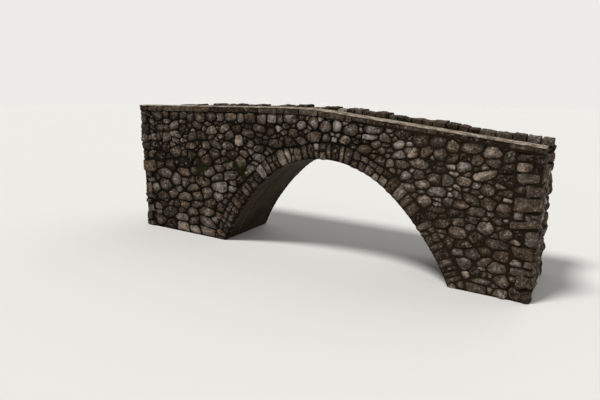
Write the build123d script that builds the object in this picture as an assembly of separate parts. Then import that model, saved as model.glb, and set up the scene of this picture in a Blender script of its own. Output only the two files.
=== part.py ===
from build123d import *
from math import acos, atan, atan2, cos, radians, sin, sqrt
import os

# A rubble-stone footbridge with one arch, in millimetres.
# X runs along the bridge, +X towards the low bank. Y runs across it, and the front face looks along -Y.
# Z is up. The origin is the middle of the bounding box, on the level that both footings stand on.
# The walls run down to that level at both ends. The walkway is nearly level from the high bank to its
# crest, and falls from there to the low bank.

# Driving dimensions of the arch. The crown arc meets a haunch arc each side without a kink.
SPAN = 6300.0                # clear width between the two feet of the arch
RISE = 2570.0                # from the footing level to the underside of the crown
CROWN_RADIUS = 2600.0        # radius of the underside over the middle of the arch
CROWN_HALF_ANGLE = 41.0      # degrees each side of the middle that the crown arc covers
RING_DEPTH = 380.0           # thickness of the arch, square to its underside

# Driving dimensions of the walls, the fill and the walkway
BRIDGE_WIDTH = 2000.0        # outer face to outer face of the walls
WALL_THICKNESS = 350.0       # face walls and parapets
END_WALL_THICKNESS = 350.0   # cross walls that close the two ends
HIGH_END_LENGTH = 6250.0     # middle of the arch to the high bank's end
LOW_END_LENGTH = 4750.0      # middle of the arch to the low bank's end
ABUTMENT_HEIGHT = 1350.0     # solid masonry between each foot of the arch and its end wall
CROWN_COVER = 80.0           # fill between the arch and the walkway at the middle of the arch
WALKWAY_THICKNESS = 110.0    # bedded stone paving

# Driving dimensions of the walkway's line along the bridge
CREST_OFFSET = 1080.0        # from the middle of the arch towards the high bank
HIGH_SIDE_SLOPE = 0.010      # fall from the crest to the high bank, as rise over run
LOW_SIDE_SLOPE = 0.117       # fall from the crest to the low bank
CREST_RADIUS = 12000.0       # rounding of the crest

# Driving dimensions of the parapets
PARAPET_HEIGHT = 420.0       # wall above the walkway, without its capping
CAPPING_THICKNESS = 150.0
CAPPING_OVERHANG = 30.0      # past both faces of the parapet
CREST_LENGTH = 5200.0        # the middle one of three lengths of parapet and walkway, over the crest

# Worked out: places along the bridge
HIGH_END_X = -(HIGH_END_LENGTH + LOW_END_LENGTH) / 2
LOW_END_X = HIGH_END_X + HIGH_END_LENGTH + LOW_END_LENGTH
ARCH_X = HIGH_END_X + HIGH_END_LENGTH
CREST_X = ARCH_X - CREST_OFFSET

# Worked out: places across the bridge
FACE_Y = BRIDGE_WIDTH / 2
CORE_Y = FACE_Y - WALL_THICKNESS

# Worked out: the haunch arc that starts where the crown arc ends and reaches the foot of the span
JOIN = radians(CROWN_HALF_ANGLE)
HAUNCH_RUN = SPAN / 2 - CROWN_RADIUS * sin(JOIN)
HAUNCH_DROP = RISE - CROWN_RADIUS * (1 - cos(JOIN))
FOOT = 2 * atan2(HAUNCH_DROP, HAUNCH_RUN) - JOIN
HAUNCH_RADIUS = HAUNCH_RUN / (sin(FOOT) - sin(JOIN))
CROWN_CENTRE_Z = RISE - CROWN_RADIUS
HAUNCH_CENTRE_X = (CROWN_RADIUS - HAUNCH_RADIUS) * sin(JOIN)
HAUNCH_CENTRE_Z = CROWN_CENTRE_Z + (CROWN_RADIUS - HAUNCH_RADIUS) * cos(JOIN)
HAUNCH_BACK_RADIUS = HAUNCH_RADIUS + RING_DEPTH
BACK_FOOT = acos(-HAUNCH_CENTRE_Z / HAUNCH_BACK_RADIUS)
BACK_FOOT_RUN = HAUNCH_CENTRE_X + HAUNCH_BACK_RADIUS * sin(BACK_FOOT)
ABUTMENT_ANGLE = acos((ABUTMENT_HEIGHT - HAUNCH_CENTRE_Z) / HAUNCH_BACK_RADIUS)

# Worked out: the angles at which the segments of each half of the arch end
SHOULDER_START = JOIN / 3
HAUNCH_END = (JOIN + FOOT) / 2

# Worked out: the walkway's line. Its crest is an arc that is tangent to both slopes.
HIGH_TURN = atan(HIGH_SIDE_SLOPE)
LOW_TURN = atan(LOW_SIDE_SLOPE)
CREST_ARC_HIGH_X = CREST_X - CREST_RADIUS * sin(HIGH_TURN)
CREST_ARC_LOW_X = CREST_X + CREST_RADIUS * sin(LOW_TURN)

# Heights of the layers above the line that the walkway's underside follows
WALKWAY_TOP = WALKWAY_THICKNESS
PARAPET_TOP = WALKWAY_TOP + PARAPET_HEIGHT
CAPPING_TOP = PARAPET_TOP + CAPPING_THICKNESS


def crest_line_drop(x):
    """How far the walkway's line lies below its crest at x, in millimetres."""
    if x < CREST_ARC_HIGH_X:
        arc = CREST_RADIUS * (1 - cos(HIGH_TURN))
        return arc + (CREST_ARC_HIGH_X - x) * HIGH_SIDE_SLOPE
    if x > CREST_ARC_LOW_X:
        arc = CREST_RADIUS * (1 - cos(LOW_TURN))
        return arc + (x - CREST_ARC_LOW_X) * LOW_SIDE_SLOPE
    return CREST_RADIUS - sqrt(CREST_RADIUS**2 - (x - CREST_X) ** 2)


CREST_Z = RISE + RING_DEPTH + CROWN_COVER + crest_line_drop(ARCH_X)


def line_z(x, layer):
    """Height of a layer of the walkway's line at x."""
    return CREST_Z - crest_line_drop(x) + layer


def line_edges(x_start, x_end, layer):
    """The walkway's line from x_start to x_end, raised by layer: straight runs and the crest's arc."""
    stops = [x_start]
    stops += [x for x in (CREST_ARC_HIGH_X, CREST_ARC_LOW_X) if x_start < x < x_end]
    stops.append(x_end)
    edges = []
    for a, b in zip(stops, stops[1:]):
        middle = (a + b) / 2
        start = (a, line_z(a, layer))
        end = (b, line_z(b, layer))
        if CREST_ARC_HIGH_X < middle < CREST_ARC_LOW_X:
            edges.append(ThreePointArc(start, (middle, line_z(middle, layer)), end))
        else:
            edges.append(Line(start, end))
    return edges


def arch_point(angle, depth):
    """A point of the arch curve that lies depth outside the underside. The angle, in radians, is from
    the upright at the middle of the arch, and is positive towards the low bank."""
    side = 1 if angle >= 0 else -1
    if abs(angle) <= JOIN:
        centre_x, centre_z, radius = 0.0, CROWN_CENTRE_Z, CROWN_RADIUS
    else:
        centre_x, centre_z, radius = side * HAUNCH_CENTRE_X, HAUNCH_CENTRE_Z, HAUNCH_RADIUS
    x = centre_x + (radius + depth) * sin(angle)
    z = centre_z + (radius + depth) * cos(angle)
    return (ARCH_X + x, z)


def arch_arc(depth, start, end):
    """One arc of the arch curve, between two angles that both lie in its crown or in its haunch."""
    return ThreePointArc(*[arch_point(angle, depth) for angle in (start, (start + end) / 2, end)])


def arch_back(side, foot_angle):
    """The two arcs of the back of the arch on one side, from the middle down to foot_angle."""
    return [
        arch_arc(RING_DEPTH, 0, side * JOIN),
        arch_arc(RING_DEPTH, side * JOIN, side * foot_angle),
    ]


def end_x(side):
    """Where the bridge ends at one bank."""
    return LOW_END_X if side > 0 else HIGH_END_X


def end_wall_x(side):
    """The inner face of the cross wall at one bank."""
    return end_x(side) - side * END_WALL_THICKNESS


def prism(edges, y_start, y_end):
    """A solid whose outline, drawn in X and Z, runs from y_start to y_end."""
    outline = Wire(edges)
    face = Face(outline).rotate(Axis.X, 90)
    face = face.moved(Location((0, y_start, 0)))
    return extrude(face, amount=y_end - y_start, dir=(0, 1, 0))


def polyline(*points):
    """Straight edges through the points."""
    return [Line(a, b) for a, b in zip(points, points[1:])]


def arch_segment(start, end, back_end):
    """One length of the arch across the full width, between two angles. The angle where its back ends
    is given by itself, because the back of the lowest segments reaches the footing level further out."""
    edges = [arch_arc(0, start, end), arch_arc(RING_DEPTH, start, back_end)]
    edges += polyline(arch_point(start, 0), arch_point(start, RING_DEPTH))
    edges += polyline(arch_point(end, 0), arch_point(back_end, RING_DEPTH))
    return prism(edges, -FACE_Y, FACE_Y)


def spandrel(side, y_start, y_end):
    """The wall over one half of the arch, up to the walkway's surface."""
    foot = arch_point(side * BACK_FOOT, RING_DEPTH)
    crown = arch_point(0, RING_DEPTH)
    edges = arch_back(side, BACK_FOOT)
    edges += line_edges(min(foot[0], ARCH_X), max(foot[0], ARCH_X), WALKWAY_TOP)
    edges += polyline(foot, (foot[0], line_z(foot[0], WALKWAY_TOP)))
    edges += polyline(crown, (ARCH_X, line_z(ARCH_X, WALKWAY_TOP)))
    return prism(edges, y_start, y_end)


def wall_to_floor(x_a, x_b, top_layer, y_start, y_end):
    """A wall between two places along the bridge, from the footing level up to a layer of the line."""
    low_x, high_x = sorted((x_a, x_b))
    edges = line_edges(low_x, high_x, top_layer)
    edges += polyline(
        (low_x, line_z(low_x, top_layer)), (low_x, 0), (high_x, 0), (high_x, line_z(high_x, top_layer))
    )
    return prism(edges, y_start, y_end)


def wing_wall(side, y_start, y_end):
    """The face wall from the foot of the arch to the bank's end, up to the walkway's surface."""
    return wall_to_floor(ARCH_X + side * BACK_FOOT_RUN, end_x(side), WALKWAY_TOP, y_start, y_end)


def end_wall(side):
    """The cross wall that holds in the fill at one bank, up to the underside of the walkway."""
    return wall_to_floor(end_wall_x(side), end_x(side), 0, -CORE_Y, CORE_Y)


def abutment(side):
    """Solid masonry that the haunch of the arch leans on, inside the face walls and the end wall."""
    foot = arch_point(side * BACK_FOOT, RING_DEPTH)
    top = arch_point(side * ABUTMENT_ANGLE, RING_DEPTH)
    back_x = end_wall_x(side)
    edges = [arch_arc(RING_DEPTH, side * ABUTMENT_ANGLE, side * BACK_FOOT)]
    edges += polyline(top, (back_x, ABUTMENT_HEIGHT), (back_x, 0), foot)
    return prism(edges, -CORE_Y, CORE_Y)


def rubble_fill(side):
    """Packed rubble on the abutment and over the arch, up to the underside of the walkway."""
    top = arch_point(side * ABUTMENT_ANGLE, RING_DEPTH)
    crown = arch_point(0, RING_DEPTH)
    back_x = end_wall_x(side)
    edges = arch_back(side, ABUTMENT_ANGLE)
    edges += line_edges(min(back_x, ARCH_X), max(back_x, ARCH_X), 0)
    edges += polyline(top, (back_x, ABUTMENT_HEIGHT), (back_x, line_z(back_x, 0)))
    edges += polyline(crown, (ARCH_X, line_z(ARCH_X, 0)))
    return prism(edges, -CORE_Y, CORE_Y)


def band(x_start, x_end, low_layer, high_layer, y_start, y_end):
    """A length of a layer that follows the walkway's line, such as a parapet or its capping."""
    edges = line_edges(x_start, x_end, low_layer) + line_edges(x_start, x_end, high_layer)
    for x in (x_start, x_end):
        edges += polyline((x, line_z(x, low_layer)), (x, line_z(x, high_layer)))
    return prism(edges, y_start, y_end)


# Face walls, parapets and cappings come in a front and a back copy
faces = {"front": (-FACE_Y, -CORE_Y), "back": (CORE_Y, FACE_Y)}
sides = {"high_bank": -1, "low_bank": 1}
lengths = {
    "high_bank": (HIGH_END_X, CREST_X - CREST_LENGTH / 2),
    "crest": (CREST_X - CREST_LENGTH / 2, CREST_X + CREST_LENGTH / 2),
    "low_bank": (CREST_X + CREST_LENGTH / 2, LOW_END_X),
}

parts = {"arch_crown": arch_segment(-SHOULDER_START, SHOULDER_START, SHOULDER_START)}
for side_name, side in sides.items():
    for segment_name, start, end, back_end in (
        ("shoulder", SHOULDER_START, JOIN, JOIN),
        ("haunch", JOIN, HAUNCH_END, HAUNCH_END),
        ("foot", HAUNCH_END, FOOT, BACK_FOOT),
    ):
        parts[f"{side_name}_arch_{segment_name}"] = arch_segment(side * start, side * end, side * back_end)
    parts[f"{side_name}_abutment"] = abutment(side)
    parts[f"{side_name}_rubble_fill"] = rubble_fill(side)
    parts[f"{side_name}_end_wall"] = end_wall(side)
for face_name, (y_start, y_end) in faces.items():
    for side_name, side in sides.items():
        parts[f"{face_name}_{side_name}_spandrel"] = spandrel(side, y_start, y_end)
        parts[f"{face_name}_{side_name}_wing_wall"] = wing_wall(side, y_start, y_end)
for length_name, (x_start, x_end) in lengths.items():
    parts[f"{length_name}_walkway"] = band(x_start, x_end, 0, WALKWAY_TOP, -CORE_Y, CORE_Y)
    for face_name, (y_start, y_end) in faces.items():
        parts[f"{face_name}_{length_name}_parapet"] = band(
            x_start, x_end, WALKWAY_TOP, PARAPET_TOP, y_start, y_end
        )
        parts[f"{face_name}_{length_name}_capping"] = band(
            x_start, x_end, PARAPET_TOP, CAPPING_TOP,
            y_start - CAPPING_OVERHANG, y_end + CAPPING_OVERHANG,
        )

os.makedirs("parts", exist_ok=True)
for name, shape in parts.items():
    export_step(shape, f"parts/{name}.step")
    print(name, round(shape.volume / 1e9, 3), "cubic metres")
print("total", round(sum(shape.volume for shape in parts.values()) / 1e9, 3), "cubic metres")
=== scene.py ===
"""Stones, mortar and moss for a rubble-stone footbridge with one arch.

The plain masses of masonry are loaded as a fixed frame, and each operator lays one kind of stone or one
finish over them. Lengths are metres. +X runs along the bridge towards the low bank, +Y across it from the
front face to the back, and +Z up. A side is -1 for the front and the high bank, and 1 for the back and the
low bank.
"""

import itertools
import math
from collections import namedtuple

import bpy
import numpy as np
from bpy.props import FloatProperty, FloatVectorProperty, PointerProperty
from bpy.types import NodeSocket, Operator, Panel, PropertyGroup
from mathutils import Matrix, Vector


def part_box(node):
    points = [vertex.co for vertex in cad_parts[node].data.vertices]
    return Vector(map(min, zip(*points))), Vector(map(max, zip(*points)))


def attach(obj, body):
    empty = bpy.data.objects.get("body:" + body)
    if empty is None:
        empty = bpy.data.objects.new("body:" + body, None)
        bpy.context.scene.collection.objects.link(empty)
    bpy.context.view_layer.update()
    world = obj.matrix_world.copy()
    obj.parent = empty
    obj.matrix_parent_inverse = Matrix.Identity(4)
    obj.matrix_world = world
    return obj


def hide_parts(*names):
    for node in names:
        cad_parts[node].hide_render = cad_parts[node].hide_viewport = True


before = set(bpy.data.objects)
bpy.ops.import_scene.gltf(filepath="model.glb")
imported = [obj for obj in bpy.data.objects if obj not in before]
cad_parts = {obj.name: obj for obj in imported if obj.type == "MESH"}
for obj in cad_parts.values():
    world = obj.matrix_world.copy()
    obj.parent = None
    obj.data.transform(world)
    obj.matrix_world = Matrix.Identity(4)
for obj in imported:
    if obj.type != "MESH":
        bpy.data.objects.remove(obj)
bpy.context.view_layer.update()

bl_info = {
    "name": "Rubble Footbridge",
    "version": (1, 0, 0),
    "blender": (4, 5, 0),
    "location": "3D View > Sidebar > Footbridge",
    "description": "Lays the stones, mortar and finishes of a rubble-stone footbridge",
    "category": "Object",
}

# The arch: a crown arc that meets a haunch arc each side, and the crest of the walkway
SPAN = 6.3
RISE = 2.57
CROWN_RADIUS = 2.6
CROWN_HALF_ANGLE = math.radians(41)
CREST_RADIUS = 12.0
HIGH_SIDE_SLOPE = 0.010
LOW_SIDE_SLOPE = 0.117

# Places read from the frame
CROWN_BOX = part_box("arch_crown")
CREST_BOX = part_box("crest_walkway")
PARAPET_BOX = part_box("back_crest_parapet")
CAPPING_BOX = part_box("back_crest_capping")
HIGH_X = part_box("high_bank_end_wall")[0].x
LOW_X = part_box("low_bank_end_wall")[1].x
END_X = {-1: HIGH_X, 1: LOW_X}
ARCH_X = (CROWN_BOX[0].x + CROWN_BOX[1].x) / 2
RING_DEPTH = CROWN_BOX[1].z - RISE
CREST_X = (CREST_BOX[0].x + CREST_BOX[1].x) / 2
CREST_Z = CREST_BOX[1].z
INNER_Y = PARAPET_BOX[0].y
FACE_Y = PARAPET_BOX[1].y
WALL_THICKNESS = FACE_Y - INNER_Y

# Heights over the walkway of the bed under the capping and of the capping's top
PARAPET_TOP = PARAPET_BOX[1].z - CREST_Z
CAPPING_TOP = CAPPING_BOX[1].z - CREST_Z

# Worked out: the haunch arc, which touches the crown arc where it ends, and runs along the underside
HAUNCH_RUN = SPAN / 2 - CROWN_RADIUS * math.sin(CROWN_HALF_ANGLE)
HAUNCH_DROP = RISE - CROWN_RADIUS * (1 - math.cos(CROWN_HALF_ANGLE))
FOOT_ANGLE = 2 * math.atan2(HAUNCH_DROP, HAUNCH_RUN) - CROWN_HALF_ANGLE
HAUNCH_RADIUS = HAUNCH_RUN / (math.sin(FOOT_ANGLE) - math.sin(CROWN_HALF_ANGLE))
CROWN_CENTRE_Z = RISE - CROWN_RADIUS
HAUNCH_CENTRE_X = (CROWN_RADIUS - HAUNCH_RADIUS) * math.sin(CROWN_HALF_ANGLE)
HAUNCH_CENTRE_Z = CROWN_CENTRE_Z + (CROWN_RADIUS - HAUNCH_RADIUS) * math.cos(CROWN_HALF_ANGLE)
CROWN_RUN = CROWN_RADIUS * CROWN_HALF_ANGLE
HALF_RUN = CROWN_RUN + HAUNCH_RADIUS * (FOOT_ANGLE - CROWN_HALF_ANGLE)

# Points around a stone, the shares of its outline at which its rows lie, and the shares of its height at
# its rim, shoulder and crown, on a domed stone and on a flat one
POINTS_AROUND = 14
ROW_SHARES = np.array([1.0, 1.0, 0.84, 0.52])
DOMED = np.array([0.12, 0.62, 0.94])
FLAT = np.array([0.42, 0.88, 0.99])

# Neighbours that can limit a stone, and the least distance from its centre to a side
NEIGHBOURS = 18
SMALLEST_REACH = 0.02

# The power of the norm that rounds a stone's corners: the higher, the sharper
CORNER_POWER = 20

# The spread of the slopes of a stone's top and of its facets, how many facets it has, and the share of its
# height at which they cross over its middle
TILT = 0.14
FACET_SLOPE = 0.6
FACETS = 4
FACET_HEIGHT = 0.84

# How much longer than tall a thrown stone is, least and most, and the spread of its lean
ASPECTS = (1.0, 2.3)
LEAN = 0.28

# How far a thrown stone stays clear of an edge and of the other stones, as shares of what they reach
CLEAR_OF_EDGES = 0.80
CLEAR_OF_STONES = 0.96

# Half widths of stones and how many are thrown of each, the largest first
WALL_SIZES = [(0.18, 1500), (0.15, 2000), (0.12, 2000), (0.095, 3000), (0.072, 6000), (0.050, 9000)]
SMALL_SIZES = [(0.15, 200), (0.12, 400), (0.095, 900), (0.072, 2000), (0.052, 4000)]
PAVING_SIZES = [(0.17, 150), (0.14, 400), (0.11, 1200), (0.08, 3000), (0.055, 6000)]
NONE_PLACED = np.zeros((0, 2)), np.zeros((0, 2, 2))

# Faces that turn by more than this meet at a crisp edge
BREAK_ANGLE = math.radians(30)
NO_TRIANGLES = np.zeros((0, 3), int)

# How far the capping laps past both ends of the bridge, and the points round a slab and along the mortar
END_LAP = 0.016
SLAB_AROUND = 18
MORTAR_STATIONS = 190

# From this place on, the front capping's slabs are thinner and the wall stones reach up to them
THIN_FROM = 1.50
THINNER = 0.040

# How far the arch stones reach below the underside, the least height of a corner stone's foot, how much
# darker the dampest wall stones are, for damp and a painted shadow, and how much lighter the stones under
# the capping
RING_OVERHANG = 0.022
LOWEST_FOOT = 0.012
DAMP_AND_SHADOW_DARKENING = 0.13
COURSE_LIGHT = 0.12

# The seed of each piece's random draws
SEEDS = {name: 101 * (place + 1) for place, name in enumerate((
    "front_wall_stones", "back_wall_stones", "front_arch_stones", "back_arch_stones", "corner_stones",
    "high_end_stones", "low_end_stones", "front_parapet_stones", "back_parapet_stones",
    "front_capping", "back_capping", "paving_stones", "arch_underside",
))}

# Stones of the front face that stand out: along the bridge, height, half width, half height, tone, warmth
FRONT_MARKS = [
    (-2.47, 1.54, 0.27, 0.15, 0.88, 0.45),
    (-3.80, 1.55, 0.15, 0.12, 0.62, 0.50),
    (-3.15, 1.62, 0.23, 0.13, 0.58, 0.55),
    (-2.98, 1.29, 0.16, 0.15, 0.60, 0.40),
    (-3.34, 1.17, 0.16, 0.11, 0.52, 0.60),
    (-3.90, 1.08, 0.23, 0.11, 0.58, 0.35),
    (-2.56, 1.24, 0.17, 0.10, 0.85, 0.40),
    (-3.02, 0.74, 0.24, 0.11, 0.62, 0.50),
    (-3.60, 0.66, 0.18, 0.13, 0.55, 0.45),
    (-2.50, 2.06, 0.14, 0.10, 0.66, 0.40),
    (-0.51, 3.23, 0.09, 0.08, 0.95, 0.40),
    (-0.30, 3.32, 0.10, 0.06, 0.55, 0.15),
    (0.14, 3.35, 0.12, 0.08, 0.90, 0.35),
    (0.82, 3.35, 0.14, 0.12, 0.62, 0.35),
    (1.12, 3.34, 0.10, 0.13, 1.00, 0.30),
    (1.48, 3.29, 0.18, 0.14, 0.60, 0.30),
    (2.00, 3.36, 0.22, 0.11, 0.70, 0.10),
    (2.41, 3.33, 0.08, 0.06, 0.95, 0.30),
    (1.96, 3.17, 0.15, 0.05, 0.92, 0.40),
    (1.04, 3.06, 0.07, 0.06, 0.85, 0.40),
    (2.65, 3.05, 0.10, 0.08, 0.92, 0.45),
    (2.24, 2.88, 0.09, 0.06, 0.55, 1.00),
]

# The stretch along the bridge over which the damp of the high bank gives way to the drier low bank
DRY_FROM_TO = (1.7, 2.9)

# Moss of the front face: along the bridge, height, reach
MOSS_PATCHES = [
    (-3.18, 2.15, 0.75),
    (-3.05, 1.85, 0.50),
    (-2.05, 2.16, 0.60),
    (-1.60, 1.95, 0.50),
    (-0.32, 3.25, 0.45),
    (0.86, 2.95, 0.50),
    (2.20, 2.95, 0.55),
]

# Slabs of the front capping that stand out: start, end, tone, warmth
FRONT_SLABS = [
    (0.10, 0.61, 0.55, 0.55),
    (0.61, 1.35, 0.30, 0.50),
    (1.35, 1.50, 0.62, 1.00),
    (1.50, 2.65, 0.30, 1.00),
]

# Each kind of stone: how far up its sides the joint dirt and painted shade reach, how much moss, streaks,
# pale crust and mottling it has, and the depth of its bump
STONE_FINISHES = {
    "wall_stone": dict(reach=0.92, moss=0.25, streaks=0.50, crust=0.55, mottling=1.1, depth=0.018),
    "arch_stone": dict(reach=0.92, moss=0.24, streaks=0.50, crust=0.45, mottling=1.1, depth=0.016),
    "paving_stone": dict(reach=0.45, moss=0.14, streaks=0.30, crust=0.10, mottling=0.6, depth=0.008),
    "capping_slab": dict(reach=0.30, moss=0.10, streaks=0.45, crust=0.25, mottling=0.9, depth=0.008),
}

# Each bed of mortar or earth: how much moss it has, and the depth of its bump
BED_FINISHES = {"wall_mortar": (0.26, 0.012), "capping_bed": (0.20, 0.008), "paving_earth": (0.22, 0.010)}

# The sockets of the shared effects that are colours and not numbers
COLOUR_SOCKETS = ("Colour", "Pale", "Middle", "Dark", "Dirt and shade", "Moss")

# The photograph's viewpoint, how far the view turns down and left, and its lens in millimetres
CAMERA_PLACE = (6.29, -11.05, 4.31)
CAMERA_DOWN = math.radians(13.46)
CAMERA_LEFT = math.radians(31.58)
CAMERA_LENS = 28.95
FLOOR_HALF = 90.0


def linear(red, green, blue):
    """The linear colour of a display colour whose parts run from 0 to 255."""
    parts = np.array([red, green, blue]) / 255
    return tuple(np.where(parts < 0.04045, parts / 12.92, ((parts + 0.055) / 1.055) ** 2.4).tolist())


def length_property(label, description, default):
    """A length that a user can change."""
    return FloatProperty(name=label, description=description, default=default, min=0.0, unit="LENGTH")


def colour_property(label, description, default):
    """A colour that a user can change."""
    return FloatVectorProperty(
        name=label, description=description, default=default, size=3, min=0.0, max=1.0, subtype="COLOR"
    )


def strength_property(label, description, default):
    """The strength of a light that a user can change."""
    return FloatProperty(name=label, description=description, default=default, min=0.0)


class StoneSettings(PropertyGroup):
    """Sizes of the stones, and of the joints and marks between them."""

    joint: length_property("Joint", "Gap between two stones of a wall", 0.013)
    wall_relief: length_property("Wall relief", "How far the proudest wall stone stands out", 0.090)
    ring_relief: length_property("Arch relief", "How far the proudest arch stone stands out", 0.062)
    ring_depth_in: length_property("Arch stone depth", "How far arch stones reach under the arch", 0.15)
    paving_relief: length_property("Paving relief", "How far the paving stands out of its bed", 0.024)
    capping_cover: length_property("Capping cover", "Thickness of the mortar on the front capping", 0.016)
    capping_proud: length_property("Capping proud", "How far slabs stand out past their bed", 0.014)
    mortar_skin: length_property("Mortar skin", "Thickness of the mortar under the arch", 0.008)
    board_width: length_property("Board width", "Width of the boards that marked the mortar", 0.135)
    seam_place: length_property("Seam place", "How far the seam lies in front of the middle", 0.45)


class FinishSettings(PropertyGroup):
    """Colours of stone, mortar, dirt and moss."""

    stone_pale: colour_property("Pale stone", "Bare or lichened limestone", linear(166, 158, 149))
    stone_middle: colour_property("Middle stone", "Weathered limestone", linear(93, 81, 69))
    stone_dark: colour_property("Dark stone", "Damp limestone", linear(28, 22, 14))
    # This colour also darkens the stones towards their joints, as joint dirt and painted shade
    joint_dirt: colour_property("Joint dirt", "Damp earth and old mortar in the joints", linear(12, 8, 3))
    dry_dirt: colour_property("Dry dirt", "The same, where it dries at the low bank", linear(36, 28, 19))
    moss: colour_property("Moss", "Moss on the joints and ledges", linear(34, 32, 10))
    soffit: colour_property("Underside", "Damp mortar under the arch", linear(60, 53, 39))
    lime: colour_property("Lime", "Lime that seeped from seams", linear(98, 90, 72))
    capping: colour_property("Capping mortar", "Worn mortar on the parapets", linear(160, 148, 133))
    slab: colour_property("Capping slab", "Flat stones under the mortar", linear(76, 66, 56))
    earth: colour_property("Earth", "Trodden earth between paving stones", linear(58, 47, 36))


class StageSettings(PropertyGroup):
    """The floor and the light."""

    floor: colour_property("Floor", "Colour of the floor", linear(219, 217, 213))
    backdrop: colour_property("Backdrop", "Colour behind the floor", linear(238, 236, 233))
    sky_strength: strength_property("Sky strength", "Strength of the even light", 0.30)
    lamp_strength: strength_property("Lamp strength", "Strength of the soft lamp in front", 2.7)
    fill_strength: strength_property("Fill strength", "Strength of the broad lamp behind", 0.7)


def clip_to_crest(run):
    """A run from the crest, held between the two ends of the crest's arc."""
    high_end = -CREST_RADIUS * math.sin(math.atan(HIGH_SIDE_SLOPE))
    low_end = CREST_RADIUS * math.sin(math.atan(LOW_SIDE_SLOPE))
    return np.clip(run, high_end, low_end)


def walkway_slope(x):
    """Rise over run of the walkway: the arc's slope, minus run over the root of radius squared less run
    squared, with the run held at the arc's ends."""
    on_arc = clip_to_crest(np.asarray(x, float) - CREST_X)
    return -on_arc / np.sqrt(CREST_RADIUS**2 - on_arc**2)


def walkway_z(x):
    """Height of the walkway's surface. Over the crest it is a circle's arc, CREST_Z less the radius less
    the root of radius squared less run squared. Beyond the arc it falls straight on, as steeply as the
    arc ends."""
    run = np.asarray(x, float) - CREST_X
    on_arc = clip_to_crest(run)
    fall = CREST_RADIUS - np.sqrt(CREST_RADIUS**2 - on_arc**2)
    return CREST_Z - fall + (run - on_arc) * walkway_slope(x)


def arch_angle(run):
    """Angle from the upright at a run along the underside from the middle of the arch: the run over the
    crown's radius, and past the crown the rest of the run over the haunch's radius."""
    length = np.abs(run)
    on_crown = np.minimum(length, CROWN_RUN)
    return np.sign(run) * (on_crown / CROWN_RADIUS + (length - on_crown) / HAUNCH_RADIUS)


def arc_at(angle):
    """The arc of the arch at an angle from the upright: its radius, and its centre's run and height."""
    crown = np.abs(angle) <= CROWN_HALF_ANGLE
    centre_run = np.where(crown, 0.0, np.sign(angle) * HAUNCH_CENTRE_X)
    centre_z = np.where(crown, CROWN_CENTRE_Z, HAUNCH_CENTRE_Z)
    return np.where(crown, CROWN_RADIUS, HAUNCH_RADIUS), centre_run, centre_z


def arch_point(angle, depth):
    """X and Z of a point of the arch: the centre of its arc, plus the arc's radius and the depth behind
    the underside times the sine and the cosine of the angle."""
    radius, centre_run, centre_z = arc_at(angle)
    reach = radius + depth
    return ARCH_X + centre_run + reach * np.sin(angle), centre_z + reach * np.cos(angle)


def smooth_noise(points, cell, salt):
    """Lattice noise from -1 to 1: a random number at each corner of cubes with sides of cell, blended
    between the eight corners of a point's cube by 3t^2 - 2t^3 along each axis. A corner's number comes
    from its three whole coordinates, each times a large prime, stirred by shifts and products."""
    scaled = points / cell
    base = np.floor(scaled).astype(np.int64)
    part = scaled - base
    part = part * part * (3 - 2 * part)
    total = np.zeros(points.shape[:-1])
    for corner in itertools.product((0, 1), repeat=3):
        place = (base + np.array(corner)) * np.array([73856093, 19349663, 83492791])
        mixed = (np.bitwise_xor.reduce(place, axis=-1) ^ (salt * 2654435761)) & 0xFFFFFFFF
        for shift, factor in ((15, 2246822519), (13, 3266489917)):
            mixed = (mixed ^ (mixed >> shift)) * factor & 0xFFFFFFFF
        value = ((mixed ^ (mixed >> 16)) & 0xFFFF) / 32767.5 - 1
        total += value * np.prod(np.where(corner, part, 1 - part), axis=-1)
    return total


def layered_noise(points, salt, *layers):
    """The sum of layers of lattice noise, each given as the side of its cells and its size."""
    return sum(size * smooth_noise(points, cell, salt + index) for index, (cell, size) in enumerate(layers))


def with_height(plan, height):
    """Points of a plan with the same third coordinate."""
    return np.concatenate([plan, np.full(plan.shape[:-1] + (1,), float(height))], axis=-1)


def join_edges(*edges):
    """Several sets of planes as one."""
    return np.concatenate([e[0] for e in edges], axis=1), np.concatenate([e[1] for e in edges], axis=1)


def straight_edges(normals, *distances):
    """Planes that face the same way everywhere: the directions to them, and the distances."""
    distance = np.stack(distances, axis=-1)
    return np.broadcast_to(np.array(normals, float), distance.shape + (2,)), distance


def bed_edge(points, side, height, slope=0.0):
    """A bed line over (side 1) or under (side -1) the points, as a plane square to the line: the
    direction to it, and the upright distance times the cosine of its slope."""
    slope = np.broadcast_to(slope, len(points))
    length = np.sqrt(1 + slope**2)
    normal = side * np.stack([-slope / length, 1 / length], axis=-1)
    return normal[:, None], (side * (height - points[:, 1]) / length)[:, None]


def block_edges(points, blocks):
    """Each block's nearest point as a plane: the direction from the point to it, and its distance. A
    block is its lowest and highest place along the wall and its lowest and highest height."""
    low = blocks[None, :, 0::2]
    high = blocks[None, :, 1::2]
    inward = np.clip(points[:, None], low, high) - points[:, None]
    distance = np.linalg.norm(inward, axis=-1)
    return inward / np.maximum(distance, 1e-6)[..., None], distance


def ring_back(x):
    """How far the arch stones reach behind the underside near a place along the bridge: the depth of the
    arch less a centimetre, changed by noise along the bridge, because its stones are of uneven length."""
    spot = np.stack([x, np.zeros_like(x), np.zeros_like(x)], axis=-1)
    return RING_DEPTH - 0.01 + 0.055 * smooth_noise(spot, 0.33, 7)


def arch_edge(points):
    """The back of the arch as a plane touching it next to each point: the direction to the centre of the
    arc that the point faces, and the distance from that centre less the arc's back radius."""
    run = points[:, 0] - ARCH_X
    radius, centre_run, centre_z = arc_at(np.arctan2(run, points[:, 1] - CROWN_CENTRE_Z))
    inward = np.stack([centre_run - run, centre_z - points[:, 1]], axis=-1)
    distance = np.linalg.norm(inward, axis=-1)
    return (inward / distance[:, None])[:, None], (distance - (radius + ring_back(points[:, 0])))[:, None]


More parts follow.
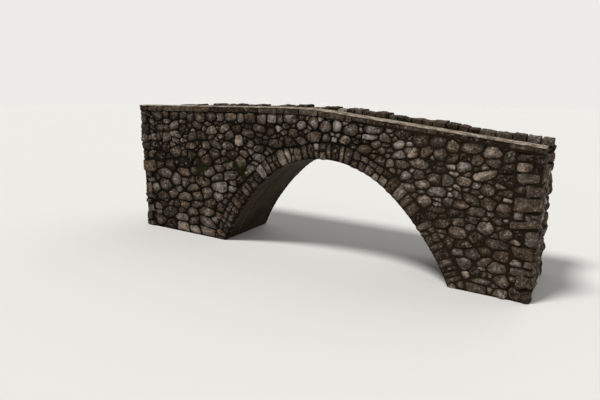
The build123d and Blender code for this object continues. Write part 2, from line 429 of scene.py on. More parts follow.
def beside_walkway(tops, side):
    """Whether corner stones with their tops at these heights stand beside the walkway, and not under it."""
    return tops > walkway_z(END_X[side]) + 0.03


def corner_blocks(side, seed):
    """The corner stones of one end of the bridge, one row for each course: its length along the face, its
    length across the end, its foot and its top. The courses are random heights of 0.13 to 0.38 m, all
    stretched by one factor to end at the top of the parapet. Long and short ends alternate, and beside
    the walkway a stone is as deep as the parapet."""
    top = float(walkway_z(END_X[side])) + PARAPET_TOP
    courses = np.random.default_rng(seed).uniform(0.13, 0.38, 40)
    levels = np.concatenate([[0], np.cumsum(courses)])
    last = np.argmin(np.abs(levels - top))
    levels = levels[: last + 1] * top / levels[last]
    rng = np.random.default_rng(seed + 1)
    long_face = np.arange(last) % 2 == 0
    along = np.where(long_face, rng.uniform(0.30, 0.52, last), rng.uniform(0.16, 0.30, last))
    across = np.where(long_face, rng.uniform(0.18, 0.32, last), rng.uniform(0.32, 0.52, last))
    across = np.where(beside_walkway(levels[1:], side), WALL_THICKNESS, across)
    return np.stack([along, across, levels[:-1], levels[1:]], axis=-1)


def blocks_at_both(start, at_start, stop, at_stop, column):
    """The corner stones at the start and the stop of a face as blocks, which run on 1 m past the face.
    The column is 0 for their lengths along a long face and 1 for those across an end."""
    first = [np.full(len(at_start), start - 1), start + at_start[:, column], *at_start[:, 2:].T]
    last = [stop - at_stop[:, column], np.full(len(at_stop), stop + 1), *at_stop[:, 2:].T]
    return np.concatenate([np.stack(first, axis=-1), np.stack(last, axis=-1)])


CORNERS = {-1: corner_blocks(-1, 11), 1: corner_blocks(1, 23)}
FACE_BLOCKS = blocks_at_both(HIGH_X, CORNERS[-1], LOW_X, CORNERS[1], 0)

# A face to lay stones on: the planes that limit the stones at points of the face, the way from points of the
# face with their relief to the room, and whether that way turns a closed shell inside out
Face = namedtuple("Face", "edges place flip")


def thinner_slabs(x):
    """How much higher the front capping's slabs start at a place: nothing, and past it a step."""
    return THINNER * np.clip((np.asarray(x) - THIN_FROM) / 0.03, 0, 1)


def long_face(side):
    """A long face, in X and Z. Its stones end at the floor, the capping's bed, the back of the arch and the
    corner stones."""

    def edges(points):
        x = points[:, 0]
        top = walkway_z(x) + PARAPET_TOP + (side < 0) * thinner_slabs(x)
        return join_edges(
            bed_edge(points, -1, 0.0),
            bed_edge(points, 1, top, walkway_slope(x)),
            arch_edge(points),
            block_edges(points, FACE_BLOCKS),
        )

    def place(p):
        return np.stack([p[..., 0], side * (FACE_Y + p[..., 2]), p[..., 1]], axis=-1)

    return Face(edges, place, side > 0)


def parapet_inside(side):
    """The inner face of a parapet, in X and Z. Its stones end at the walkway, the capping's bed and the
    corner stones."""

    def edges(points):
        x = points[:, 0]
        return join_edges(
            bed_edge(points, -1, walkway_z(x), walkway_slope(x)),
            bed_edge(points, 1, walkway_z(x) + PARAPET_TOP, walkway_slope(x)),
            block_edges(points, FACE_BLOCKS),
        )

    def place(p):
        return np.stack([p[..., 0], side * (INNER_Y - p[..., 2]), p[..., 1]], axis=-1)

    return Face(edges, place, side < 0)


def bridge_end(side):
    """An end of the bridge, in Y and Z. Its stones end at the floor, the walkway's surface and the corner
    stones on both sides."""
    blocks = blocks_at_both(-FACE_Y, CORNERS[side], FACE_Y, CORNERS[side], 1)
    top = float(walkway_z(END_X[side]))

    def edges(points):
        return join_edges(bed_edge(points, -1, 0.0), bed_edge(points, 1, top), block_edges(points, blocks))

    def place(p):
        return np.stack([END_X[side] + side * p[..., 2], p[..., 0], p[..., 1]], axis=-1)

    return Face(edges, place, side < 0)


def walkway_face():
    """The walkway's surface, in X and Y. Its stones end at both parapets and at both ends."""

    def edges(points):
        x, y = points.T
        ways = [(0, 1), (0, -1), (1, 0), (-1, 0)]
        return straight_edges(ways, INNER_Y - y, INNER_Y + y, LOW_X - x, x - HIGH_X)

    def place(p):
        return np.stack([p[..., 0], p[..., 1], walkway_z(p[..., 0]) + p[..., 2]], axis=-1)

    return Face(edges, place, False)


def arch_face(side):
    """The face of the arch, in run along the underside and depth behind it. Its stones end a little below
    the underside and at the back of the arch."""

    def edges(points):
        run, depth = points.T
        back = ring_back(arch_point(arch_angle(run), depth)[0])
        return straight_edges([(0, -1), (0, 1)], depth + RING_OVERHANG, back - depth)

    def place(p):
        x, z = arch_point(arch_angle(p[..., 0]), p[..., 1])
        return np.stack([x, side * (FACE_Y + p[..., 2]), z], axis=-1)

    return Face(edges, place, side > 0)


def half_axes(half, aspect, lean):
    """The long and the short half axis of ellipses: the half width times and over the root of the aspect,
    turned by the lean."""
    along = np.stack([np.cos(lean), np.sin(lean)], axis=-1)
    across = np.stack([-np.sin(lean), np.cos(lean)], axis=-1)
    root = np.sqrt(aspect)[..., None]
    half = np.asarray(half)[..., None]
    return np.stack([half * root * along, half / root * across], axis=-2)


def level_axes(half_widths, half_heights):
    """The half axes of ellipses that lie level."""
    axes = np.zeros((len(half_widths), 2, 2))
    axes[:, 0, 0], axes[:, 1, 1] = half_widths, half_heights
    return axes


def reach_towards(axes, direction):
    """How far ellipses with the given half axes reach in a direction: the root of the sum of the squares
    of the direction times each half axis."""
    return np.linalg.norm(np.einsum("...kc,...c->...k", axes, direction), axis=-1)


def spacing(run, first, second):
    """The length of the run between two stones, over what both reach along it."""
    both = reach_towards(first, run) + reach_towards(second, run)
    return np.sum(run**2, axis=-1) / np.maximum(both, 1e-9)


def scatter(rng, low, high, edges, sizes, placed=NONE_PLACED, limits=None):
    """Centres and half axes of stones thrown at random, the largest first. A throw stays if it is clear
    of the edges and if the run to every earlier stone is long enough for what both reach along it. limits
    gives the smallest and the largest half width at a place."""
    fixed = len(placed[0])
    room = fixed + sum(throws for _, throws in sizes)
    centres, axes = np.zeros((room, 2)), np.zeros((room, 2, 2))
    centres[:fixed], axes[:fixed] = placed
    count = fixed
    for half, throws in sizes:
        tries = rng.uniform(low, high, (throws, 2))
        widths = half * rng.uniform(0.85, 1.15, throws)
        pairs = half_axes(widths, rng.uniform(*ASPECTS, throws), rng.normal(0, LEAN, throws))
        normal, distance = edges(tries)
        fits = (distance > CLEAR_OF_EDGES * reach_towards(pairs[:, None], normal)).all(axis=1)
        if limits is not None:
            smallest, largest = limits(tries)
            fits &= (widths > smallest) & (widths < largest)
        for centre, pair in zip(tries[fits], pairs[fits]):
            if (spacing(centres[:count] - centre, axes[:count], pair) > CLEAR_OF_STONES).all():
                centres[count], axes[count] = centre, pair
                count += 1
    return centres[:count], axes[:count]


def stone_outlines(rng, centres, axes, edges, joint, reach):
    """How far each stone reaches in each direction around its centre. One over the reach is the 20-norm of
    one over the distance to each plane that limits the stone, which rounds the corners. The planes are
    the edges, and one towards each near neighbour. It lies square to the inverse of both ellipses'
    summed squares times the run between them, and shares that run by what each stone reaches along it."""
    apart = spacing(centres[None] - centres[:, None], axes[:, None], axes[None])
    np.fill_diagonal(apart, np.inf)
    near = np.argsort(apart, axis=1)[:, :NEIGHBOURS]
    run = centres[near] - centres[:, None]
    square = np.einsum("nkc,nkd->ncd", axes, axes)
    square = square[:, None] + square[near]
    normal = np.stack([
        square[..., 1, 1] * run[..., 0] - square[..., 0, 1] * run[..., 1],
        square[..., 0, 0] * run[..., 1] - square[..., 0, 1] * run[..., 0],
    ], axis=-1)
    normal /= np.linalg.norm(normal, axis=-1, keepdims=True)
    own, theirs = reach_towards(axes[:, None], normal), reach_towards(axes[near], normal)
    share = np.sum(run * normal, axis=-1) * own / (own + theirs)
    normal, distance = join_edges((normal, share), edges(centres))
    gaps = joint * rng.uniform(0.1, 2.2, distance.shape)
    distance = np.maximum(distance - gaps / 2, SMALLEST_REACH)

    turn = np.arange(POINTS_AROUND) / POINTS_AROUND * 2 * np.pi
    turn = turn + rng.uniform(0, 2 * np.pi / POINTS_AROUND, (len(centres), 1))
    ellipse = np.stack([np.cos(turn), np.sin(turn)], axis=-1) @ axes
    length = np.linalg.norm(ellipse, axis=-1)
    direction = ellipse / length[..., None]
    facing = np.maximum(np.einsum("ikc,iac->iak", normal, direction), 0)
    closeness = np.sum((facing / distance[:, None]) ** CORNER_POWER, axis=-1)
    closeness += (1 / (reach * length)) ** CORNER_POWER
    outline = closeness ** (-1 / CORNER_POWER)
    for waves in (2, 3, 5):
        phase = rng.uniform(0, 2 * np.pi, (len(centres), 1))
        outline *= 1 - 0.012 * (1 + np.sin(waves * turn + phase))
    outline *= rng.uniform(0.94, 1.0, outline.shape)
    return direction, outline


def stone_rows(rng, centres, axes, direction, outline, salt, relief,
               flat=(0.0, 0.9), skirt=0.025, washed=0.4, foot_wear=0.0):
    """Rows of points from a stone's foot in the mortar over its rim to its top, and how clean and lit each
    is, which sets how much joint dirt and painted shade darken it. The height over the bed is the stone's
    own height times a share for the row, tilted, cut by sloping facets and roughened by noise. The stone's
    height is 0.5 to 0.75 of the relief, less on narrow stones, plus a tenth of it and up to a tenth where
    the wall
    swells. flat is the range of flatness: 0 is a domed stone and 1 a flat one. The clean and lit value is
    the mean of the row's share and the height's, and near the rim it is up to the given top-light amount
    more on
    the upper side and less on the lower one: a painted highlight above and painted shade below. The foot has
    the value given."""
    count = len(centres)
    halves = np.sqrt(np.prod(np.linalg.norm(axes, axis=-1), axis=-1))
    rows = ROW_SHARES[None, :, None, None] * (direction * outline[..., None])[:, None]
    spots = with_height(centres[:, None, None] + rows, salt + 0.5)
    jitter = 1 + 0.10 * smooth_noise(spots, 0.07, salt) * (ROW_SHARES < 1)[:, None]
    rows = rows * jitter[..., None]
    swell = 0.10 * smooth_noise(with_height(centres, 0), 0.9, salt + 2)
    heights = relief * (rng.uniform(0.5, 0.75, count) * np.clip(halves / 0.13, 0.5, 1) + 0.10 + swell)
    heights = heights[:, None, None]
    crown = DOMED + rng.uniform(*flat, (count, 1)) * (FLAT - DOMED)
    tilt = rng.normal(0, TILT, (count, 2))
    facets = [rng.normal(0, FACET_SLOPE, (count, 2)) for _ in range(FACETS)]

    def raised(offset, share):
        lift = heights * share + np.einsum("irac,ic->ira", offset, tilt)
        for facet in facets:
            lift = np.minimum(lift, heights * FACET_HEIGHT + np.einsum("irac,ic->ira", offset, facet))
        plan = centres[:, None, None] + offset
        rough = layered_noise(with_height(plan, salt), salt, (0.10, 0.22), (0.045, 0.16))
        lift = lift + heights * rough * np.minimum(share * 1.6, 1)
        return plan, np.clip(lift, 0.10 * heights, relief)

    share = np.concatenate([crown[:, :1], crown], axis=1)[..., None]
    plan, lift = raised(rows, share)
    top_plan, top_lift = raised(np.zeros((count, 1, 1, 2)), np.ones((1, 1, 1)))
    lift[:, 0] = -skirt
    rings = np.concatenate([plan, lift[..., None]], axis=-1)
    top = np.concatenate([top_plan, top_lift[..., None]], axis=-1)[:, 0, 0]
    # Painted highlight and shade: near the rim the upper side is lighter and the lower side darker, as if
    # lit from above
    clean_and_lit = (lift / heights + share) / 2 + washed * direction[:, None, :, 1] * (1 - share)
    clean_and_lit = np.clip(clean_and_lit, 0, 1)
    clean_and_lit[:, 0] = foot_wear
    return rings, np.stack([with_height(centres, -skirt), top], axis=1), clean_and_lit


def grid_quads(rows, columns):
    """Corners of the faces of a grid of points, row after row."""
    row, column = np.meshgrid(np.arange(rows - 1), np.arange(columns - 1), indexing="ij")
    first = row * columns + column
    return np.stack([first, first + columns, first + columns + 1, first + 1], axis=-1).reshape(-1, 4)


def shell_faces(count, rings, around, flip):
    """Corners of the faces of shells that share one layout: quads between rings, and a fan to each pole."""
    step = rings * around
    ring, point = np.meshgrid(np.arange(rings - 1), np.arange(around), indexing="ij")
    after = (point + 1) % around
    low, high = ring * around, (ring + 1) * around
    quads = np.stack([low + point, low + after, high + after, high + point], axis=-1).reshape(-1, 4)
    start = np.arange(count)[:, None, None] * step
    quads = (quads[None] + start).reshape(-1, 4)
    edge = np.arange(around)
    poles = count * step + np.arange(count)[:, None] * 2
    first = np.stack([(edge + 1) % around, edge], axis=-1)[None] + start
    last = np.stack([edge, (edge + 1) % around], axis=-1)[None] + (rings - 1) * around + start
    fans = [
        np.concatenate([rim, np.broadcast_to((poles + end)[:, None], rim.shape[:2] + (1,))], axis=-1)
        for end, rim in enumerate((first, last))
    ]
    triangles = np.concatenate(fans).reshape(-1, 3)
    if flip:
        return quads[:, ::-1], triangles[:, ::-1]
    return quads, triangles


def make_mesh(name, points, quads, triangles=NO_TRIANGLES, attribute=None):
    """A mesh from whole arrays. An attribute is its name, kind, field and value at each point. The mesh is
    shaded smooth but for the edges at which its faces turn by more than the break angle."""
    mesh = bpy.data.meshes.new(name)
    mesh.vertices.add(points.size // 3)
    mesh.vertices.foreach_set("co", points.astype(np.float32).ravel())
    corners = np.concatenate([quads.ravel(), triangles.ravel()]).astype(np.int32)
    sizes = np.concatenate([np.full(len(quads), 4), np.full(len(triangles), 3)])
    mesh.loops.add(len(corners))
    mesh.loops.foreach_set("vertex_index", corners)
    mesh.polygons.add(len(sizes))
    mesh.polygons.foreach_set("loop_start", np.concatenate([[0], np.cumsum(sizes)[:-1]]).astype(np.int32))
    mesh.polygons.foreach_set("use_smooth", np.ones(len(sizes), bool))
    if attribute:
        label, kind, field, values = attribute
        layer = mesh.attributes.new(label, kind, "POINT")
        layer.data.foreach_set(field, values.astype(np.float32).ravel())
    mesh.update(calc_edges=True)
    if mesh.validate():
        raise RuntimeError(f"{name} has faces that don't hold together")
    mesh.set_sharp_from_angle(angle=BREAK_ANGLE)
    return mesh


def link(name, data):
    """Adds an object with that data to the scene."""
    added = bpy.data.objects.new(name, data)
    bpy.context.scene.collection.objects.link(added)
    return added


def show(mesh, material):
    """Adds a mesh to the scene as a piece of the bridge, with the material of that name. The material is
    built by the first piece that asks for it."""
    piece = link(mesh.name, mesh)
    mesh.materials.append(bpy.data.materials.get(material) or BUILDERS[material](material))
    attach(piece, "root")
    return piece


def lay_shells(name, shells, looks, flip, material):
    """One piece from many closed shells, given as their rings, their poles and how clean and lit each point
    is. The attribute stone holds the tone and the warmth of the point's shell and how clean and lit the
    point is, which sets how much joint dirt and painted shade darken it."""
    rings, poles, clean_and_lit = shells
    count, rows, around = rings.shape[:3]
    points = np.concatenate([rings.reshape(-1, 3), poles.reshape(-1, 3)])
    points[:, 2] = np.maximum(points[:, 2], 0.0)
    looks = np.stack(looks, axis=-1)
    looks = np.concatenate([looks.repeat(rows * around, axis=0), looks.repeat(2, axis=0)])
    # Joint dirt and painted shade darken the foot pole fully and the top pole not at all
    wear = np.concatenate([clean_and_lit.ravel(), np.tile([0.0, 1.0], count)])
    values = np.column_stack([looks, wear, np.ones(len(wear))])
    mesh = make_mesh(name, points, *shell_faces(count, rows, around, flip),
                     ("stone", "FLOAT_COLOR", "color", values))
    return show(mesh, material)


def stone_looks(rng, count, brightness=1.0):
    """Tone and warmth of each stone. Most tones spread by 0.16 about 0.42, 19 in a hundred are light and 7
    very pale, all times the brightness, and warmth is any share."""
    tone = np.clip(rng.normal(0.42, 0.16, count), 0.08, 0.78)
    draw = rng.random(count)
    tone = np.where(draw > 0.74, rng.uniform(0.6, 0.85, count), tone)
    tone = np.where(draw > 0.93, rng.uniform(0.85, 1.0, count), tone)
    return tone * brightness, rng.random(count)


def lay_stones(name, stones, face, material, slot, joint, looks=None, reach=1.9, **shape):
    """One piece from all the stones of a face, given as centres and half axes: their outlines, their rows
    of points, and their place."""
    rng = np.random.default_rng(SEEDS[name])
    direction, outline = stone_outlines(rng, *stones, face.edges, joint, reach)
    rings, poles, clean_and_lit = stone_rows(rng, *stones, direction, outline, SEEDS[name], **shape)
    if looks is None:
        looks = stone_looks(rng, len(stones[0]))
    return lay_shells(name, (face.place(rings), face.place(poles), clean_and_lit), looks, face.flip, material)


def throw_and_lay(name, face, low, high, joint, relief):
    """One piece of small rubble thrown over a face."""
    rng = np.random.default_rng(SEEDS[name])
    stones = scatter(rng, low, high, face.edges, SMALL_SIZES)
    lay_stones(name, stones, face, "wall_stone", "wall_rubble", joint, relief=relief)


def face_limits(points):
    """The smallest and the largest half width of a stone by its place on a long face: the rounded
    boulders of the high bank's side are larger than the small rubble over the arch and at the low bank."""
    x, z = points.T
    boulders = np.clip((-0.8 - x) / 1.2, 0, 1) * np.clip((2.6 - z) / 0.9, 0, 1)
    return 0.044 + 0.030 * boulders, 0.145 + 0.065 * boulders


def damp_and_shadow_wall(points):
    """How much a place on a long face is darkened, for damp and a painted shadow: 1 in the upper wall at the
    high bank, a quarter over the arch, and up to 1 more next to the moss."""
    x, z = points.T
    high_bank = np.clip((-0.7 - x) / 0.6, 0, 1) * np.clip((z - 1.7) / 0.4, 0, 1)
    over_arch = 0.25 * np.clip((2.4 - np.abs(x - ARCH_X)) / 0.5, 0, 1) * (z > RISE)
    patches = np.array(MOSS_PATCHES)
    away = np.linalg.norm(points[:, None] - patches[:, :2], axis=-1) / patches[:, 2]
    return np.maximum(high_bank, over_arch) + np.clip(1.1 - 1.8 * away, 0, 1).max(axis=1)


def top_course(rng):
    """The larger stones laid under the capping, one after another along the bridge, as level ellipses whose
    half axes are 0.48 of the width and the height that a stone has to itself."""
    widths = rng.uniform(0.17, 0.44, 60)
    places = HIGH_X + 0.5 + np.cumsum(widths) - widths / 2
    tall = rng.uniform(0.20, 0.29, 60)
    heights = walkway_z(places) + PARAPET_TOP - tall / 2 - 0.01
    kept = places < LOW_X - 0.5
    return np.stack([places, heights], axis=-1)[kept], level_axes(widths * 0.48, tall * 0.48)[kept]


def beside_marks(marks, centres, axes):
    """The stones that stand out, and then those of a course that are clear of them by 0.9 of what two
    stones reach along the run between them."""
    own = level_axes(marks[:, 2], marks[:, 3])
    clear = (spacing(marks[None, :, :2] - centres[:, None], axes[:, None], own[None]) > 0.9).all(axis=1)
    return np.concatenate([marks[:, :2], centres[clear]]), np.concatenate([own, axes[clear]])


def stones_on_edge(rng):
    """Centres and half axes of the stones round the arch. Random widths follow one another along the
    underside, from foot to foot, and a third of them hold a short stone with another behind it."""
    widths = rng.uniform(0.11, 0.25, 120)
    runs = -HALF_RUN - 0.1 + np.cumsum(widths) - widths / 2
    kept = runs < HALF_RUN + 0.1
    widths, runs = widths[kept], runs[kept]
    split = rng.random(len(runs)) > 0.65
    inner = np.where(split, rng.uniform(0.08, 0.13, len(runs)), rng.uniform(0.17, 0.21, len(runs)))
    outer = inner + rng.uniform(0.17, 0.20, len(runs))
    centres = np.stack([np.append(runs, runs[split]), np.append(inner, outer[split])], axis=-1)
    halves = np.append(widths, widths[split]) / 2
    depths = np.append(np.where(split, inner, 0.20), np.full(split.sum(), 0.09))
    axes = half_axes(np.sqrt(halves * depths), halves / depths, rng.normal(0, 0.10, len(halves)))
    standing = arch_point(arch_angle(centres[:, 0]), centres[:, 1])[1] > 0.03
    return centres[standing], axes[standing]


def squared_ring(count, power_across, power_up):
    """The cosine and the sine at equal steps round a ring, each made sign(c)|c|^power, which squares it."""
    turn = (np.arange(count) + 0.5) / count * 2 * np.pi
    across, upright = np.cos(turn), np.sin(turn)
    return (np.sign(across) * np.abs(across) ** power_across,
            np.sign(upright) * np.abs(upright) ** power_up)


def end_poles(shells):
    """The middle of the first and of the last ring of each shell."""
    return np.stack([shells[:, 0].mean(axis=1), shells[:, -1].mean(axis=1)], axis=1)


def rough_blocks(rng, low, high, salt):
    """Closed blocks between two corners, and how clean and lit their points are. A squared ring times the
    half size is carried up and drawn in at both ends. It is leant and tapered a little, then moved outwards
    by noise. The clean and lit value falls off towards the foot and the top with the sixth power of the
    height, so joint dirt and painted shade darken a block at its beds."""
    levels = np.array([-1.0, -0.90, -0.66, -0.25, 0.25, 0.66, 0.90, 1.0])
    drawn = np.array([0.80, 0.94, 1.0, 1.0, 1.0, 1.0, 0.94, 0.80])
    ring = np.stack(squared_ring(20, 0.42, 0.42), axis=-1)
    middle, half = (low + high) / 2, (high - low) / 2
    count = len(low)
    plan = half[:, None, None, :2] * ring[None, None] * drawn[None, :, None, None]
    plan = plan * (1 + rng.uniform(-0.07, 0.07, (count, 1, 1, 2)) * levels[None, :, None, None])
    lean = np.einsum("krac,kc->kra", plan, rng.normal(0, 0.06, (count, 2)))
    upright = half[:, None, None, 2] * levels[None, :, None] + lean
    shells = np.concatenate([plan, upright[..., None]], axis=-1) + middle[:, None, None]
    outward = np.concatenate([
        np.broadcast_to(ring[None, None], plan.shape) * (np.abs(levels) < 1)[None, :, None, None],
        np.broadcast_to((levels * (np.abs(levels) > 0.8))[None, :, None, None], upright.shape + (1,)),
    ], axis=-1)
    rough = layered_noise(shells, salt, (0.17, 0.030), (0.07, 0.016))
    shells = shells + outward * rough[..., None]
    clean_and_lit = np.broadcast_to((0.70 * (1 - np.abs(levels) ** 6))[None, :, None], upright.shape)
    return shells, end_poles(shells), clean_and_lit


def slab_ends(rng, fixed, length):
    """Places along the bridge where capping slabs end: the fixed ones, and random ones about a length
    apart that share each stretch between them."""
    stops = [HIGH_X - END_LAP, *fixed, LOW_X + END_LAP]
    ends = [stops[0]]
    for start, stop in zip(stops, stops[1:]):
        count = max(1, round((stop - start) / length))
        shares = np.cumsum(rng.uniform(0.5, 1.5, count))
        ends.extend(start + (stop - start) * shares / shares[-1])
    return np.array(ends)


def slab_shells(rng, side, ends, low, high, proud, rough, gap=0.006):
    """Flat slabs as a squared ring of points carried along the walkway's line, from the layer low to the
    layer high. The ring is drawn in at both ends, and then moved outwards by noise of the size rough.
    A slab is clean and lit over most of it, and little at its two ends, where joint dirt and painted shade
    darken it."""
    stations = np.array([-1.0, -0.97, -0.80, -0.4, 0.0, 0.4, 0.80, 0.97, 1.0])
    scale = np.array([0.86, 0.975, 1.0, 1.0, 1.0, 1.0, 1.0, 0.975, 0.86])
    wear = np.array([0.05, 0.35, 0.85, 0.85, 0.85, 0.85, 0.85, 0.35, 0.05])
    around, upright = squared_ring(SLAB_AROUND, 0.3, 0.3)
    count = len(ends) - 1
    middle = (ends[1:] + ends[:-1]) / 2
    half_length = (ends[1:] - ends[:-1]) / 2 - gap * rng.uniform(0.5, 1.5, count)
    outer = CAPPING_BOX[1].y + proud * rng.uniform(0.3, 1.5, count)
    inner = CAPPING_BOX[0].y - proud * rng.uniform(0.3, 1.5, count)
    x = middle[:, None, None] + half_length[:, None, None] * stations[None, :, None]
    x = np.broadcast_to(x, (count, len(stations), SLAB_AROUND))
    grown = scale[None, :, None]
    y = (outer + inner)[:, None, None] / 2 + (outer - inner)[:, None, None] / 2 * grown * around
    z = (high + low)[:, None, None] / 2 + (high - low)[:, None, None] / 2 * grown * upright
    shells = np.stack([x, side * y, z + walkway_z(x)], axis=-1)
    outward = np.stack(np.broadcast_arrays(np.zeros(1), side * around, upright), axis=-1)[None, None]
    shells = shells + outward * layered_noise(shells, 31, (0.15, rough), (0.06, rough * 0.5))[..., None]
    return shells, end_poles(shells), np.broadcast_to(wear[None, :, None], x.shape)


def lay_mortar(name, side, low, high, margin, seed, material):
    """One length of mortar along a parapet, from the layer low to the layer high: a squared, flattened ring
    carried along the walkway's line, whose edges wander with noise past the margin and whose top is a
    little domed."""
    x = np.linspace(HIGH_X - END_LAP, LOW_X + END_LAP, MORTAR_STATIONS)
    around, upright = squared_ring(SLAB_AROUND, 0.25, 0.4)
    half_width = (CAPPING_BOX[1].y - CAPPING_BOX[0].y) / 2 + margin
    middle_y = (CAPPING_BOX[1].y + CAPPING_BOX[0].y) / 2
    spot = np.stack(np.broadcast_arrays(x[:, None], around[None] * 0.3 + side, float(seed)), axis=-1)
    y = middle_y + around * (half_width + layered_noise(spot, seed, (0.4, 0.004), (0.08, 0.004)))
    dome = 0.005 * (1 - around**2) * (upright > 0)
    lumps = 0.002 * smooth_noise(spot, 0.2, seed + 2)
    z = (low + high) / 2 + upright * (high - low) / 2 + dome + lumps
    shell = np.stack(np.broadcast_arrays(x[:, None], side * y, z + walkway_z(x)[:, None]), axis=-1)[None]
    lay_shells(name, (shell, end_poles(shell), np.ones(shell.shape[:3])), np.ones((2, 1)), side < 0,
               material)


def underside_skin(sizes):
    """Points of the mortar under the arch, and each point's run along the arch, place across it and lime.
    The skin lies a thickness below the underside. Each board has its own level, a ridge stands where two
    boards met, and a broader one, exp of minus distance squared, stands at the seam. The two long sides
    turn up behind the arch stones."""
    boards = math.ceil(2 * HALF_RUN / sizes.board_width)
    steps = np.array([0.0, 0.06, 0.5, 0.94])
    run = ((np.arange(boards)[:, None] + steps).ravel() / boards * 2 - 1) * HALF_RUN
    run = np.append(run, HALF_RUN)
    board = np.append(np.repeat(np.arange(boards), len(steps)), boards - 1)
    at_edge = np.append(np.tile(steps == 0, boards), True)
    half = FACE_Y - sizes.ring_depth_in + 0.03
    seam_y = -sizes.seam_place
    across = np.sort(np.append(np.linspace(-half, half, 41), seam_y + np.array([-0.014, 0, 0.014])))
    rng = np.random.default_rng(SEEDS["arch_underside"])
    level = np.where(at_edge, 0.003, rng.uniform(-0.003, 0.003, boards)[board])
    place = np.stack(np.broadcast_arrays(run[:, None], across[None], 0.5), axis=-1)
    seam = np.exp(-((across - seam_y) / 0.010) ** 2)
    wander = layered_noise(place, 41, (0.5, 0.004), (0.08, 0.0015))
    down = sizes.mortar_skin + level[:, None] + 0.007 * seam + wander
    down[:, [0, -1]] = -0.02
    x, z = arch_point(arch_angle(run)[:, None], -down)
    points = np.stack(np.broadcast_arrays(x, across, np.maximum(z, 0.0)), axis=-1)
    lime = np.exp(-((across - seam_y) / 0.014) ** 2)
    return points, np.stack(np.broadcast_arrays(run[:, None], across, lime), axis=-1)


def opaque(colour):
    """A colour as a socket wants it, with full opacity."""
    return (*colour, 1.0)


def set_inputs(tree, made, inputs):
    """Gives each input of a node a constant, or joins it to another node's output."""
    for key, value in inputs.items():
        if isinstance(value, NodeSocket):
            tree.links.new(value, made.inputs[key])
        else:
            made.inputs[key].default_value = value


def node(tree, kind, inputs=None, **settings):
    """Adds a shader node."""
    made = tree.nodes.new(kind)
    for name, value in settings.items():
        setattr(made, name, value)
    set_inputs(tree, made, inputs or {})
    return made


def calc(tree, operation, first, second=0.0):
    """One sum of two numbers."""
    return node(tree, "ShaderNodeMath", {0: first, 1: second}, operation=operation).outputs[0]


def ease(tree, value, start, end):
    """0 below start, 1 above end, and a smooth step between them."""
    made = node(tree, "ShaderNodeMapRange", {"Value": value, "From Min": start, "From Max": end},
                interpolation_type="SMOOTHSTEP")
    return made.outputs["Result"]


def blend(tree, factor, first, second, kind="MIX"):
    """Two colours mixed by a factor."""
    made = node(tree, "ShaderNodeMix", {0: factor, 6: first, 7: second}, data_type="RGBA", blend_type=kind)
    return made.outputs[2]


def shaded(tree, colour, factor, low, high):
    """A colour times a shade from low to high, mixed by a factor."""
    return blend(tree, 1.0, colour, blend(tree, factor, opaque(low), opaque(high)), "MULTIPLY")


def object_place(tree, scale=(1, 1, 1), location=(0, 0, 0)):
    """The point's place on the bridge, scaled and shifted for one pattern."""
    place = node(tree, "ShaderNodeTexCoord").outputs["Object"]
    made = node(tree, "ShaderNodeMapping", {"Vector": place, "Scale": scale, "Location": location})
    return made.outputs["Vector"]


def cloud(tree, vector, scale, detail=4.0, roughness=0.55, output="Fac"):
    """Soft noise from 0 to 1."""
    made = node(tree, "ShaderNodeTexNoise",
                {"Vector": vector, "Scale": scale, "Detail": detail, "Roughness": roughness})
    return made.outputs[output]


def swing(tree, noise, size):
    """Noise that swings about 0 by half the size each way."""
    return calc(tree, "MULTIPLY", calc(tree, "SUBTRACT", noise, 0.5), size)


def cells(tree, vector, scale, feature="F1"):
    """The distance to the nearest of random points, or to the edge between their cells."""
    made = node(tree, "ShaderNodeTexVoronoi", {"Vector": vector, "Scale": scale}, feature=feature)
    return made.outputs["Distance"]


def new_group(name, inputs, outputs):
    """An empty node group with named sockets, the sockets to read, and the node to feed."""
    group = bpy.data.node_groups.new(name, "ShaderNodeTree")
    for way, labels in (("INPUT", inputs), ("OUTPUT", outputs)):
        for label in labels:
            kind = "NodeSocketColor" if label in COLOUR_SOCKETS else "NodeSocketFloat"
            group.interface.new_socket(label, in_out=way, socket_type=kind)
    return group, group.nodes.new("NodeGroupInput").outputs, group.nodes.new("NodeGroupOutput")


def limestone_group(name):
    """Mottled limestone: broad blotches and fine grain move a stone's tone between dark, middle and pale,
    warmth tints it, and pale and black crusts lie over it. Height is its pitted roughness."""
    group, given, sink = new_group(
        name, ["Pale", "Middle", "Dark", "Tone", "Warmth", "Crust", "Mottling"], ["Colour", "Height"]
    )
    place = object_place(group)
    grain = cloud(group, place, 27.0, 5.0, 0.70)
    broad = swing(group, cloud(group, place, 9.0, 5.0, 0.6), 1.5)
    mottled = calc(group, "MULTIPLY", calc(group, "ADD", broad, swing(group, grain, 2.0)), given["Mottling"])
    shade = calc(group, "ADD", given["Tone"], mottled)
    colour = blend(group, ease(group, shade, 0.0, 0.55), given["Dark"], given["Middle"])
    colour = blend(group, ease(group, shade, 0.55, 1.15), colour, given["Pale"])
    colour = shaded(group, colour, given["Warmth"], (0.97, 0.98, 1.01), (1.09, 0.98, 0.87))
    black = ease(group, cloud(group, object_place(group, location=(3, 1, 7)), 11.0, 6.0, 0.6), 0.56, 0.70)
    black = calc(group, "MULTIPLY", calc(group, "MULTIPLY", black, given["Mottling"]), 0.38)
    colour = blend(group, black, colour, given["Dark"])
    crust = ease(group, cloud(group, object_place(group, location=(9, 4, 2)), 15.0, 5.0, 0.6), 0.57, 0.66)
    colour = blend(group, calc(group, "MULTIPLY", crust, given["Crust"]), colour, given["Pale"])
    pits = calc(group, "MULTIPLY", ease(group, cells(group, place, 42.0), 0.08, 0.45), 0.35)
    height = calc(group, "ADD", cloud(group, place, 17.0, 7.0, 0.6), pits)
    height = calc(group, "ADD", height, calc(group, "MULTIPLY", grain, 0.25))
    set_inputs(group, sink, {"Colour": colour, "Height": height})
    return group


